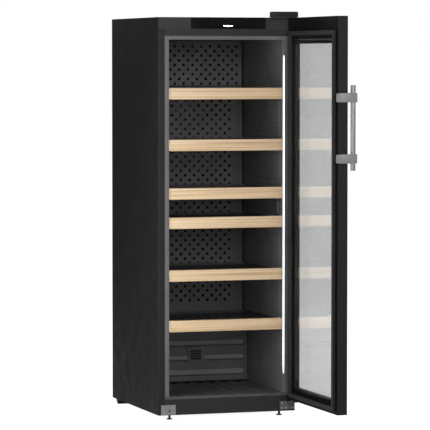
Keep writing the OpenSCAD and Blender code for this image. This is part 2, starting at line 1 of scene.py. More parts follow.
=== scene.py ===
# %% [markdown]
# # A wine cooler, dressed in Blender
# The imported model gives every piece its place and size. This script loads it, swaps the plain
# pieces that show most for finer surfaces, and gives each piece a finish of its own.

# %% Load the frame
import json
from math import cos, pi, radians, sin

import bmesh
import bpy
import numpy as np
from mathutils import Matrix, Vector


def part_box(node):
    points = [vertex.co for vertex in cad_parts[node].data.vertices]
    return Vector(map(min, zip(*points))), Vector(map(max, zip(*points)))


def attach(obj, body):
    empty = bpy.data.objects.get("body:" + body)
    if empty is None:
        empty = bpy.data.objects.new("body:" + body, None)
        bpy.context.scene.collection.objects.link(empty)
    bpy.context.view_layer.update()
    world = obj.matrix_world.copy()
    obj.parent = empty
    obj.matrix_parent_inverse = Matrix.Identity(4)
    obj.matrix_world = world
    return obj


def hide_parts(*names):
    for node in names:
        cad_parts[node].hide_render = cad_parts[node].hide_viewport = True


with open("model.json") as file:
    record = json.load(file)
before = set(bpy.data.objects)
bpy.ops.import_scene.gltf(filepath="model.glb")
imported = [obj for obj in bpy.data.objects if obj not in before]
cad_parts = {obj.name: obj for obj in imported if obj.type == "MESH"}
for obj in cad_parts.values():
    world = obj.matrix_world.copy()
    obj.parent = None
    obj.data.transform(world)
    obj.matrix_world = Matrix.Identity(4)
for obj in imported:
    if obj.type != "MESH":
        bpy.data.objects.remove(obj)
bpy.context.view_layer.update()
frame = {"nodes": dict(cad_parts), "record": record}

mm = 0.001
slot_of = {part["node"]: part["material_slot"] for part in frame["record"]["subparts"]}

# %% [markdown]
# ## The camera and the studio
# A long lens from a few metres away keeps the tall sides almost upright. It stands a little to the
# left and looks slightly down. It comes first, so that each later step can be judged through it.

# %% Camera
camera_place = (-3.4714, -11.2875, 1.4831)
camera_yaw = radians(18.013)
camera_pitch = radians(3.07)
long_lens = 239.3
camera_data = bpy.data.cameras.new("camera")
camera_data.lens = long_lens
camera_data.sensor_width = 36
camera_data.clip_end = 200
camera = bpy.data.objects.new("camera", camera_data)
camera.location = camera_place
camera.rotation_euler = (pi / 2 - camera_pitch, 0, -camera_yaw)
bpy.context.scene.collection.objects.link(camera)
bpy.context.scene.camera = camera
bpy.context.scene.view_settings.view_transform = "Standard"

# %% [markdown]
# The studio is white behind the cooler, with large soft boxes beside it. Black lacquer shows only
# what it reflects, so the room it mirrors is kept darker than the white seen behind it.

# %% World
room_strength = 0.10
world = bpy.data.worlds.new("studio")
bpy.context.scene.world = world
world.use_nodes = True
world_nodes, world_links = world.node_tree.nodes, world.node_tree.links
world_nodes.clear()
rays = world_nodes.new("ShaderNodeLightPath")
seen = world_nodes.new("ShaderNodeMath")
seen.operation = "MAXIMUM"
seen_light = world_nodes.new("ShaderNodeBackground")
seen_light.inputs["Color"].default_value = (1, 1, 1, 1)
seen_light.inputs["Strength"].default_value = 1.0
room_light = world_nodes.new("ShaderNodeBackground")
room_light.inputs["Color"].default_value = (1, 1, 1, 1)
room_light.inputs["Strength"].default_value = room_strength
either = world_nodes.new("ShaderNodeMixShader")
world_out = world_nodes.new("ShaderNodeOutputWorld")
world_links.new(rays.outputs["Is Camera Ray"], seen.inputs[0])
world_links.new(rays.outputs["Is Transmission Ray"], seen.inputs[1])
world_links.new(seen.outputs[0], either.inputs["Fac"])
world_links.new(room_light.outputs[0], either.inputs[1])
world_links.new(seen_light.outputs[0], either.inputs[2])
world_links.new(either.outputs[0], world_out.inputs["Surface"])


# %% Lights
def soft_box_light(name, place, target, width, height, watts):
    """A rectangular lamp at place, turned to face target."""
    data = bpy.data.lights.new(name, "AREA")
    data.shape = "RECTANGLE"
    data.size, data.size_y, data.energy = width, height, watts
    lamp = bpy.data.objects.new(name, data)
    lamp.location = place
    lamp.visible_camera = False
    lamp.rotation_euler = (Vector(target) - Vector(place)).to_track_quat("-Z", "Y").to_euler()
    bpy.context.scene.collection.objects.link(lamp)


middle = (0.24, 0.0, 0.85)
soft_box_light("key", (-0.4, -6.0, 2.7), middle, 2.4, 3.0, 200)
soft_box_light("side", (-0.85, -0.75, 0.9), (1.0, -0.75, 0.9), 1.2, 1.7, 24)
soft_box_light("fill", (4.2, -3.6, 1.8), middle, 2.0, 3.0, 40)
soft_box_light("back", (0.5, 4.5, 3.0), middle, 3.0, 2.0, 40)

# %% [markdown]
# ## Surfaces from arrays
# Each new piece is worked out as arrays of points and handed to the mesh in one go. One small
# builder welds points that fall together, so poles and seams close.


# %% Mesh builder
new_pieces = []


def solid(name, points, faces, body, slot, node=None, crease=35):
    """Makes a closed piece from points and faces, welds doubles and turns every face outwards."""
    mesh = bpy.data.meshes.new(name)
    mesh.from_pydata(np.asarray(points).reshape(-1, 3).tolist(), [], faces)
    work = bmesh.new()
    work.from_mesh(mesh)
    bmesh.ops.remove_doubles(work, verts=work.verts, dist=0.002 * mm)
    bmesh.ops.dissolve_degenerate(work, edges=work.edges, dist=0.002 * mm)
    bmesh.ops.recalc_face_normals(work, faces=work.faces)
    work.to_mesh(mesh)
    work.free()
    mesh.shade_smooth()
    mesh.set_sharp_from_angle(angle=radians(crease))
    piece = bpy.data.objects.new(name, mesh)
    bpy.context.scene.collection.objects.link(piece)
    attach(piece, body)
    if node:
        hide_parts(node)
    new_pieces.append((piece, slot))
    return piece


def skin(rings, around, closed_ends=True, closed_loop=False, start=0):
    """Faces between rings of points: ring i is joined to ring i + 1, and each ring to itself."""
    index = start + np.arange(rings * around).reshape(rings, around)
    right = np.roll(index, -1, axis=1)
    if closed_loop:
        here, above, here_r, above_r = index, np.roll(index, -1, 0), right, np.roll(right, -1, 0)
    else:
        here, above, here_r, above_r = index[:-1], index[1:], right[:-1], right[1:]
    faces = np.stack([here, here_r, above_r, above], axis=-1).reshape(-1, 4).tolist()
    if closed_ends and not closed_loop:
        faces += [index[0][::-1].tolist(), index[-1].tolist()]
    return faces


# %% [markdown]
# Moulded and machined blocks never have knife edges. A rounded block is the set of points at
# one radius from a smaller block: take a corner of the small block and add the radius times a
# direction on a sphere.


# %% Rounded block
def rounded_points(lo, hi, radius, steps=4):
    """Rounded block: corner centre plus radius times (cos f cos a, cos f sin a, sin f)."""
    lo, hi = np.array(lo), np.array(hi)
    radius = min(radius, 0.499 * (hi - lo).min())
    quarter = np.linspace(0, pi / 2, steps + 1)
    a = np.concatenate([quarter + k * pi / 2 for k in range(4)])
    side = np.repeat([[1, 1], [-1, 1], [-1, -1], [1, -1]], steps + 1, axis=0)
    f = np.concatenate([quarter - pi / 2, quarter])
    f_side = np.repeat([-1, 1], steps + 1)
    centre, half = (lo + hi) / 2, (hi - lo) / 2 - radius
    x = centre[0] + side[:, 0] * half[0] + radius * np.outer(np.cos(f), np.cos(a))
    y = centre[1] + side[:, 1] * half[1] + radius * np.outer(np.cos(f), np.sin(a))
    z = centre[2] + f_side[:, None] * half[2] + radius * np.sin(f)[:, None] + 0 * x
    return np.stack([x, y, z], axis=-1)


def rounded_blocks(name, boxes, radius, body, slot, node=None, steps=4):
    """One piece made of rounded blocks, each given by its low and high corner."""
    points, faces, count = [], [], 0
    for lo, hi in boxes:
        p = rounded_points(lo, hi, radius, steps)
        faces += skin(p.shape[0], p.shape[1], start=count)
        count += p.shape[0] * p.shape[1]
        points.append(p.reshape(-1, 3))
    return solid(name, np.concatenate(points), faces, body, slot, node)


# %% [markdown]
# ## Beech shelf fronts
# Each shelf ends in a planed beech strip with eased edges. A rounded block gives the eased edge,
# and the grain comes later from a finish that runs along the strip.

# %% Shelf fronts
edge_ease = 2.5 * mm
for k in range(1, 7):
    lo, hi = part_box(f"shelf_front_{k}")
    rounded_blocks(f"beech_front_{k}", [(lo, hi)], edge_ease, f"shelf_{k}", "beech",
                   f"shelf_front_{k}")
print("six beech fronts")

# %% [markdown]
# ## Folded side sheets
# The sides are lacquered sheet steel, folded forwards round the front corner. A fold has a round
# outer edge, so the outline carries arcs there, and is then carried straight up.


# %% Side sheets
sheet = 1.5 * mm
fold_r = 2.2 * mm


def arc(centre, radius, start, end, steps=6):
    """Points on a circle from the start angle to the end angle, in radians."""
    a = np.linspace(start, end, steps + 1)
    return np.stack([centre[0] + radius * np.cos(a), centre[1] + radius * np.sin(a)], axis=-1)


def folded_outline(depth, flange, back_flange):
    """A sheet seen from above: x inwards from its outer face, y back from its front face."""
    inner = fold_r - sheet
    back_centre = (fold_r, depth - fold_r)
    return np.concatenate([
        [[flange, 0]], arc((fold_r, fold_r), fold_r, 1.5 * pi, pi),
        arc(back_centre, fold_r, pi, pi / 2),
        [[back_flange, depth], [back_flange, depth - sheet]],
        arc(back_centre, inner, pi / 2, pi), arc((fold_r, fold_r), inner, pi, 1.5 * pi),
        [[flange, sheet]],
    ])


def side_sheet(node, name, inwards):
    """The folded outline carried up, with a narrower front fold where the fascia stands."""
    lo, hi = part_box(node)
    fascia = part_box("fascia_caps")[0][2] - 0.1 * mm
    outer_x = lo[0] if inwards > 0 else hi[0]
    points, faces = [], []
    for flange, z0, z1 in ((hi[0] - lo[0], lo[2], fascia), (fold_r, fascia, hi[2])):
        outline = folded_outline(hi[1] - lo[1], flange, 12 * mm)
        ring = np.stack([outer_x + inwards * outline[:, 0], lo[1] + outline[:, 1]], axis=-1)
        faces += skin(2, len(ring), start=2 * len(ring) * len(points))
        points.append(np.array([np.column_stack([ring, np.full(len(ring), z)]) for z in (z0, z1)]))
    return solid(name, np.concatenate(points), faces, "cabinet", slot_of[node], node)


side_sheet("side_panel_left", "side_sheet_left", 1)
side_sheet("side_panel_right", "side_sheet_right", -1)
print("two folded sides")

# %% [markdown]
# ## Status light and hinge cover
# The control panel has a plain bar that lights up when the cooler is on. The cover over the upper
# hinge is a thin shell, open below, which narrows towards the back.


# %% Status light
status_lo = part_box("control_panel")[0]
status_x = status_lo[0] + 142 * mm
bar_z = status_lo[2] + 10.5 * mm
bar_long, bar_tall = 38 * mm, 3.5 * mm
bar_front, bar_back = status_lo[1] + 0.4 * mm, status_lo[1] + 0.9 * mm
rounded_blocks("status_light", [((status_x, bar_front, bar_z),
                                 (status_x + bar_long, bar_back, bar_z + bar_tall))],
               0.2 * mm, "cabinet", "light_diffuser")


# %% Hinge cover
def hinge_cover(node, name, radius, wall, taper_start, taper):
    """A shell open below: a plan outline carried up, drawn in near the top as a fillet does."""
    lo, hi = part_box(node)

    def ring(inset, z):
        left, right = lo[0] + inset, hi[0] - inset
        front, back = lo[1] + inset, hi[1] - inset
        r = 3 * mm
        outline = np.concatenate([
            arc((left + r, front + r), r, pi, 1.5 * pi),
            arc((right - r, front + r), r, 1.5 * pi, 2 * pi),
            arc((right - r, back - r), r, 0, pi / 2),
            [[left + taper * (back - front - taper_start), back], [left, front + taper_start]]])
        return np.column_stack([outline, np.full(len(outline), z)])

    turn = np.linspace(0, pi / 2, 7)
    rings = [ring(wall, hi[2] - wall), ring(wall, lo[2]), ring(0, lo[2])]
    rings += [ring(radius * (1 - cos(a)), hi[2] - radius * (1 - sin(a))) for a in turn]
    rings = np.array(rings)
    return solid(name, rings, skin(len(rings), rings.shape[1]), "cabinet", slot_of[node], node)


hinge_cover("top_hinge_cover", "hinge_cover", 4 * mm, 2 * mm, 16 * mm, 0.33)

# %% [markdown]
# ## Lower rear cover
# The lower cover is pressed with three raised bands. The height over the sheet grows with the
# distance from a band's border, smoothly, up to the full height of the press.


# %% Lower rear cover
def dense(lo, hi, marks, reach, fine, coarse):
    """Places from lo to hi, close together within reach of each mark, and exactly on each mark."""
    places = [lo]
    while places[-1] < hi:
        near = min(abs(places[-1] - m) for m in marks) < reach
        places.append(places[-1] + (fine if near else coarse))
    places = np.array(places[:-1] + [hi])
    for m in marks:
        if lo <= m <= hi:
            places[np.abs(places - m).argmin()] = m
    return np.unique(places)


def slab(xs, zs, front_y, back_y, keep):
    """A plate whose front follows front_y over a grid; cells not kept become an opening."""
    x, z = np.meshgrid(xs, zs, indexing="ij")
    points = np.concatenate([np.stack([x, y, z], axis=-1).reshape(-1, 3)
                             for y in (front_y, np.full_like(x, back_y))])
    index = np.arange(x.size).reshape(x.shape)
    back = x.size
    a, b, c, d = index[:-1, :-1], index[1:, :-1], index[1:, 1:], index[:-1, 1:]
    faces = np.stack([a, b, c, d], axis=-1)[keep].tolist()
    faces += (np.stack([a, d, c, b], axis=-1)[keep] + back).tolist()
    padded = np.pad(keep, 1)
    for axis, step, (p, q) in ((0, -1, (a, d)), (0, 1, (b, c)), (1, -1, (a, b)), (1, 1, (d, c))):
        beyond = np.roll(padded, -step, axis=axis)[1:-1, 1:-1]
        rim = keep & ~beyond
        faces += np.stack([p[rim], q[rim], q[rim] + back, p[rim] + back], axis=-1).tolist()
    return points, faces


cover_lo, cover_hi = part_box("lower_back_cover")
grille_lo, grille_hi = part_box("filter_grille")
press = 5.8 * mm
flank = 7 * mm
tip = 12 * mm
bands = [(22 * mm, 54 * mm), (87 * mm, 116 * mm), (150 * mm, 180 * mm)]
hole_x = (grille_lo[0] - 0.1 * mm, grille_hi[0] + 0.1 * mm)
hole_z = (grille_lo[2] - 0.1 * mm, grille_hi[2] + 0.1 * mm)
cover_xs = dense(cover_lo[0], cover_hi[0], (cover_lo[0] + 16 * mm, cover_hi[0] - 16 * mm, *hole_x),
                 18 * mm, 1.6 * mm, 14 * mm)
cover_zs = dense(cover_lo[2], cover_hi[2],
                 [cover_lo[2] + h for band in bands for h in band] + list(hole_z),
                 11 * mm, 1.3 * mm, 6 * mm)
grid_x, grid_z = np.meshgrid(cover_xs, cover_zs, indexing="ij")
rise = np.zeros_like(grid_x)
for low, high in bands:
    middle_z, half = cover_lo[2] + (low + high) / 2, (high - low) / 2
    off = np.abs(grid_z - middle_z)
    end = np.minimum(grid_x - cover_lo[0], cover_hi[0] - grid_x) - 8 * mm - tip * off / half
    inside = np.clip(np.minimum(half - off, end) / flank, 0, 1)
    rise = np.maximum(rise, inside * inside * (3 - 2 * inside))
sheet_front = cover_hi[1] - 2.5 * mm
mid_x, mid_z = (cover_xs[:-1] + cover_xs[1:]) / 2, (cover_zs[:-1] + cover_zs[1:]) / 2
in_hole_x = (mid_x > hole_x[0]) & (mid_x < hole_x[1])
in_hole_z = (mid_z > hole_z[0]) & (mid_z < hole_z[1])
kept = ~(in_hole_x[:, None] & in_hole_z)
points, faces = slab(cover_xs, cover_zs, sheet_front - press * rise, cover_hi[1], kept)
pressed = solid("pressed_cover", points, faces, "cabinet", slot_of["lower_back_cover"],
                "lower_back_cover", crease=50).data
places = np.empty(len(pressed.vertices) * 3)
pressed.vertices.foreach_get("co", places)
# Each point keeps its share of the full rise; the cover's finish lightens by it as a painted
# highlight.
share = np.clip((sheet_front - places[1::3]) / press, 0, 1)
pressed.attributes.new("pressed", "FLOAT", "POINT").data.foreach_set("value", share)
print("pressed cover", len(faces), "faces")

# %% [markdown]
# ## Light columns
# Two opal strips are let into the posts beside the opening and face each other across the shelves.
# Each is a shallow cushion that narrows to a soft tip at both ends: its width follows the height as
# a high power, so that only the ends taper.


# %% Light columns
def light_strip(lo, hi, facing, steps=60, around=16):
    """Cushion: width falls as (1 - |t|^24)^(1/2), crown bulges as (1 - |c|^4); t up, c across."""
    t = np.sin(np.linspace(-pi / 2, pi / 2, steps))
    width = np.sqrt(np.clip(1 - np.abs(t) ** 24, 0.0004, 1))[:, None]
    a = np.linspace(0, 2 * pi, around, endpoint=False)
    centre, half = (np.array(lo) + hi) / 2, (np.array(hi) - lo) / 2
    across = np.sign(np.cos(a)) * np.abs(np.cos(a)) ** 0.5
    crown = np.sign(np.sin(a)) * np.abs(np.sin(a)) ** 0.5
    x = centre[0] + facing * half[0] * width * crown
    y = centre[1] + half[1] * width * across
    z = centre[2] + half[2] * t[:, None] + 0 * x
    return np.stack([x, y, z], axis=-1), skin(steps, around)


column_lo, column_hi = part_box("light_columns")
column_t = 1.9 * mm
strip_wide = 6 * mm
column_y = column_hi[1] - strip_wide
points_l, faces_l = light_strip((column_lo[0], column_y, column_lo[2]),
                                (column_lo[0] + column_t, column_hi[1], column_hi[2]), 1)
points_r, faces_r = light_strip((column_hi[0] - column_t, column_y, column_lo[2]), column_hi, -1)
offset = points_l.shape[0] * points_l.shape[1]
faces_r = [[i + offset for i in face] for face in faces_r]
solid("light_strips", np.concatenate([points_l, points_r]), faces_l + faces_r, "cabinet",
      "light_diffuser", "light_columns")

# %% [markdown]
# ## Door gasket
# A magnetic gasket is a soft hollow rubber profile: a flat lip that meets the cabinet, a bellows
# that gives, and a barbed foot in the frame's groove. Its outline is carried round the door with
# mitred corners.


# %% Gasket
def frame_sweep(name, lo, hi, outline, body, slot, node=None):
    """Carries an outline of (inset from the outer edge, x) round a rectangle in y and z."""
    inset, x = outline[:, 0], outline[:, 1]
    corners = [(lo[1] + inset, lo[2] + inset), (hi[1] - inset, lo[2] + inset),
               (hi[1] - inset, hi[2] - inset), (lo[1] + inset, hi[2] - inset)]
    points = np.array([np.stack([x, y, z], axis=-1) for y, z in corners])
    return solid(name, points, skin(4, len(outline), closed_loop=True), body, slot, node)


gasket_lo, gasket_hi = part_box("door_gasket")
gasket_w, foot_in, foot_out = 18 * mm, 5.1 * mm, 12.9 * mm
pinch, air = 2.2 * mm, 0.1 * mm
lip_x = gasket_lo[0]
face_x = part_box("door_inner_frame")[0][0]
bellows = np.linspace(0, pi, 9)
gasket_outline = np.concatenate([
    arc((2.5 * mm, lip_x + 2.5 * mm), 2.5 * mm, pi, 1.5 * pi),
    arc((gasket_w - 2.5 * mm, lip_x + 2.5 * mm), 2.5 * mm, 1.5 * pi, 2 * pi),
    np.stack([gasket_w - pinch * np.sin(bellows),
              lip_x + 2.5 * mm + 6 * mm * bellows / pi], axis=-1),
    [[gasket_w - 1 * mm, face_x - air], [foot_out, face_x - air], [foot_out, gasket_hi[0]],
     [foot_in, gasket_hi[0]], [foot_in, face_x - air], [1 * mm, face_x - air]],
    np.stack([pinch * np.sin(bellows), lip_x + 8.5 * mm - 6 * mm * bellows / pi], axis=-1),
])
frame_sweep("gasket", gasket_lo, gasket_hi, gasket_outline, "door", "gasket_rubber", "door_gasket")
print("gasket outline points", len(gasket_outline))

# %% [markdown]
# ## Handle
# The handle is a brushed round bar carried by two flat arms. The bar is a turned surface with a
# small round at each end, and the arms are blocks with softened edges.


# %% Handle
def turned(centre, profile, around=48):
    """A surface of revolution about a vertical axis: rows of (radius, z) turned round centre."""
    a = np.linspace(0, 2 * pi, around, endpoint=False)
    r, z = profile[:, 0][:, None], profile[:, 1][:, None]
    return np.stack([centre[0] + r * np.cos(a), centre[1] + r * np.sin(a), z + 0 * r * a], axis=-1)


handle_lo, handle_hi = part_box("handle_bar")
bar_r, bar_round, bar_inset = 10 * mm, 1.5 * mm, 5 * mm
bar_centre = (handle_hi[0] - bar_r - bar_inset, handle_lo[1] + bar_r)
plate_lo, plate_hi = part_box("handle_base_plates")
pusher_lo, pusher_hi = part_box("handle_pushers")
round_steps = np.linspace(0, pi / 2, 6)
bar_profile = np.concatenate([
    [[0, handle_lo[2]]],
    np.column_stack([bar_r - bar_round + bar_round * np.sin(round_steps),
                     handle_lo[2] + bar_round * (1 - np.cos(round_steps))]),
    np.column_stack([bar_r - bar_round + bar_round * np.cos(round_steps),
                     handle_hi[2] - bar_round * (1 - np.sin(round_steps))]),
    [[0, handle_hi[2]]],
])
bar_points = turned(bar_centre, bar_profile)
bar_faces = skin(bar_points.shape[0], bar_points.shape[1], closed_ends=False)
arm_tall = 37 * mm
arm_feet = (plate_lo[2], plate_hi[2] - arm_tall)
arm_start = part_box("door_outer_frame")[0][0] + 8 * mm
boss = bar_r + 2 * mm


def bent_arm(z0, z1, ease=1.0 * mm, steps=4):
    """An L-shaped outline carried up, drawn in by the ease near each end, as a fillet does."""
    y_out = pusher_lo[1]
    y_in = pusher_hi[1]
    f = np.linspace(0, pi / 2, steps + 1)
    shrink = np.concatenate([ease * (1 - np.sin(f)), ease * (1 - np.sin(f[::-1]))])
    height = np.concatenate([z0 + ease * (1 - np.cos(f)), z1 - ease * (1 - np.cos(f[::-1]))])
    rings = []
    for s, z in zip(shrink, height):
        left, right, low, high = arm_start + s, handle_hi[0] - s, y_out + s, y_in - s
        step_x, boss_y = bar_centre[0] - boss - 2 * mm + s, bar_centre[1] + boss - s
        r = ease + 0.001 * mm
        outline = np.concatenate([
            arc((left + r, low + r), r, pi, 1.5 * pi),
            arc((right - r, low + r), r, 1.5 * pi, 2 * pi),
            arc((right - r, boss_y - r), r, 0, pi / 2),
            arc((step_x + r, boss_y - r), r, pi / 2, pi),
            [[step_x, high]], arc((left + r, high - r), r, pi / 2, pi)])
        rings.append(np.column_stack([outline, np.full(len(outline), z)]))
    return np.array(rings)


grip_points, grip_faces = [bar_points.reshape(-1, 3)], bar_faces
count = bar_points.shape[0] * bar_points.shape[1]
for foot_z in arm_feet:
    p = bent_arm(foot_z, foot_z + arm_tall)
    grip_faces += skin(p.shape[0], p.shape[1], start=count)
    count += p.shape[0] * p.shape[1]
    grip_points.append(p.reshape(-1, 3))
solid("grip", np.concatenate(grip_points), grip_faces, "handle", "stainless", "handle_bar")
print("handle bar and two arms")

# %% [markdown]
# ## Temperature sensor
# A small vented housing sits on the right inner wall, between the third and the fourth shelf. Thin
# fins stand on a rounded body, so that air reaches the sensor behind them.

# %% Sensor housing
shelf_lo, shelf_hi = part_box("shelf_front_3")
front = shelf_lo[1] - 4 * mm
sensor_z = shelf_lo[2] - 71 * mm
sensor_body = ((shelf_hi[0] - 5.5 * mm, front + 52 * mm, sensor_z),
               (shelf_hi[0] + 0.5 * mm, front + 112 * mm, sensor_z + 60 * mm))
fins = [((shelf_hi[0] - 8 * mm, front + 57 * mm, sensor_z + (8 + 8 * i) * mm),
         (shelf_hi[0] - 5 * mm, front + 107 * mm, sensor_z + (11 + 8 * i) * mm)) for i in range(6)]
rounded_blocks("sensor_housing", [sensor_body] + fins, 1.4 * mm, "cabinet", "cover_plastic")

# %% [markdown]
# ## Finishes
# A finish is a small recipe of nodes. Each starts from one base: a Principled shader, a noise in
# object coordinates for colour and roughness, and a second, finer one for the bump.


# %% Base recipe
def finish(name, colour, rough, metal=0.0, **sockets):
    """A Principled material with its even values set on the shader's own sockets."""
    material = bpy.data.materials.new(name)
    material.use_nodes = True
    shader = material.node_tree.nodes["Principled BSDF"]
    shader.inputs["Base Color"].default_value = (*colour, 1)
    shader.inputs["Roughness"].default_value = rough
    shader.inputs["Metallic"].default_value = metal
    for socket, value in sockets.items():
        shader.inputs[socket.replace("_", " ")].default_value = value
    return material, shader


def noise(material, scale, detail=3.0, stretch=(1, 1, 1)):
    """A noise in object coordinates, in cycles per metre, stretched along the axes."""
    nodes, links = material.node_tree.nodes, material.node_tree.links
    where = nodes.new("ShaderNodeTexCoord")
    mapping = nodes.new("ShaderNodeMapping")
    mapping.inputs["Scale"].default_value = stretch
    texture = nodes.new("ShaderNodeTexNoise")
    texture.inputs["Scale"].default_value = scale
    texture.inputs["Detail"].default_value = detail
    links.new(where.outputs["Object"], mapping.inputs["Vector"])
    links.new(mapping.outputs[0], texture.inputs["Vector"])
    return texture.outputs["Fac"]


def spread(material, source, low, high):
    """Turns a 0 to 1 pattern into a range of numbers."""
    node = material.node_tree.nodes.new("ShaderNodeMapRange")
    node.inputs["From Min"].default_value, node.inputs["From Max"].default_value = 0.3, 0.7
    node.inputs["To Min"].default_value, node.inputs["To Max"].default_value = low, high
    material.node_tree.links.new(source, node.inputs["Value"])
    return node.outputs["Result"]


def ramp(material, source, stops):
    """Turns a pattern into colours, through stops of (place, colour)."""
    node = material.node_tree.nodes.new("ShaderNodeValToRGB")
    while len(node.color_ramp.elements) < len(stops):
        node.color_ramp.elements.new(0.5)
    for element, (place, colour) in zip(node.color_ramp.elements, stops):
        element.position, element.color = place, (*colour, 1)
    material.node_tree.links.new(source, node.inputs["Fac"])
    return node.outputs["Color"]


def bump(material, source, depth, strength=0.4):
    """Bumps the surface by a pattern, depth in metres from its low to its high."""
    node = material.node_tree.nodes.new("ShaderNodeBump")
    node.inputs["Strength"].default_value = strength
    node.inputs["Distance"].default_value = depth
    material.node_tree.links.new(source, node.inputs["Height"])
    shader = material.node_tree.nodes["Principled BSDF"]
    material.node_tree.links.new(node.outputs[0], shader.inputs["Normal"])


def mottle(material, colour, amount, scale):
    """Lets the colour drift a little above and below its mean."""
    low = [c * (1 - amount) for c in colour]
    high = [c * (1 + amount) for c in colour]
    shader = material.node_tree.nodes["Principled BSDF"]
    drift = ramp(material, noise(material, scale), [(0.35, low), (0.65, high)])
    material.node_tree.links.new(drift, shader.inputs["Base Color"])


# %% [markdown]
# Powder coat is a baked paint with a fine orange-peel skin. Moulded plastic has an etched grain
# instead. Both are the same recipe at different scales.


# %% Paint and plastic
def grained(name, colour, rough, grain, depth, drift=0.12, gloss=0.5):
    """Paint or plastic: drifting colour and roughness, and a fine grain in cycles per metre."""
    material, shader = finish(name, colour, rough, Specular_IOR_Level=gloss)
    mottle(material, colour, drift, 6)
    patchy = spread(material, noise(material, 14), rough - 0.06, rough + 0.06)
    material.node_tree.links.new(patchy, shader.inputs["Roughness"])
    bump(material, noise(material, grain, 2), depth)
    return material


def lighten_as_painted_highlight(material, attribute, colour):
    """Lightens the colour where a mesh attribute is high: a painted highlight on raised bands."""
    nodes, links = material.node_tree.nodes, material.node_tree.links
    shader = nodes["Principled BSDF"]
    place = nodes.new("ShaderNodeAttribute")
    place.attribute_name = attribute
    mix = nodes.new("ShaderNodeMix")
    mix.data_type = "RGBA"
    mix.inputs["B"].default_value = (*colour, 1)
    links.new(place.outputs["Fac"], mix.inputs["Factor"])
    links.new(shader.inputs["Base Color"].links[0].from_socket, mix.inputs["A"])
    links.new(mix.outputs["Result"], shader.inputs["Base Color"])
    return material


# %% [markdown]
# Brushed and drawn metals carry fine scratches along one direction. A noise squeezed along that
# direction makes them.


# %% Metal
def scratched(name, colour, rough, stretch, scale=900, depth=0.02 * mm):
    """Metal whose scratches run along the axis with the smallest stretch."""
    material, shader = finish(name, colour, rough, metal=1.0)
    mottle(material, colour, 0.06, 9)
    lines = noise(material, scale, 4, stretch)
    material.node_tree.links.new(spread(material, lines, rough - 0.1, rough + 0.12),
                                 shader.inputs["Roughness"])
    bump(material, lines, depth, 0.3)
    return material


# %% [markdown]
# Beech is pale, with long soft streaks along the board and short dark flecks where rays are cut.
# Two noises, one long and one short, both stretched along the strip, make the two.


# %% Beech
def beech(name):
    """Long streaks for the growth rings, short flecks for the rays."""
    material, shader = finish(name, (0.6, 0.42, 0.25), 0.42)
    nodes, links = material.node_tree.nodes, material.node_tree.links
    streaks = noise(material, 1, 5, (1.8, 60, 210))
    flecks = noise(material, 1, 2, (110, 700, 900))
    board = ramp(material, streaks, [(0.28, (0.38, 0.245, 0.125)), (0.5, (0.53, 0.385, 0.235)),
                                     (0.72, (0.62, 0.485, 0.33))])
    ray = ramp(material, flecks, [(0.30, (0.72, 0.66, 0.60)), (0.42, (1, 1, 1))])
    mix = nodes.new("ShaderNodeMix")
    mix.data_type, mix.blend_type = "RGBA", "MULTIPLY"
    mix.inputs["Factor"].default_value = 0.7
    links.new(board, mix.inputs["A"])
    links.new(ray, mix.inputs["B"])
    links.new(mix.outputs["Result"], shader.inputs["Base Color"])
    links.new(spread(material, streaks, 0.36, 0.48), shader.inputs["Roughness"])
    bump(material, flecks, 0.05 * mm, 0.35)
    return material


# %% [markdown]
# Glass shows as a slight grey tint and a clean reflection. It is a solid pane, so the shader bends
# light at both faces.


# %% Glass and lamps
def tinted_glass(name):
    """Clear solid glass with a faint wavering in its roughness, as a wiped pane has."""
    material, shader = finish(name, (0.88, 0.885, 0.885), 0.0, Transmission_Weight=1.0, IOR=1.45)
    wiped = spread(material, noise(material, 3), 0.0, 0.002)
    material.node_tree.links.new(wiped, shader.inputs["Roughness"])
    return material


def lit_diffuser(name, strength):
    """Opal plastic lit from behind, a little brighter in some places than others."""
    material, shader = finish(name, (0.5, 0.51, 0.52), 0.4, Emission_Strength=strength)
    glow = ramp(material, noise(material, 8), [(0.3, (0.90, 0.94, 1.0)), (0.7, (1.0, 1.0, 1.0))])
    material.node_tree.links.new(glow, shader.inputs["Emission Color"])
    return material


# %% [markdown]
# Every slot of the record gets its finish here, so that no piece is left with a plain colour.

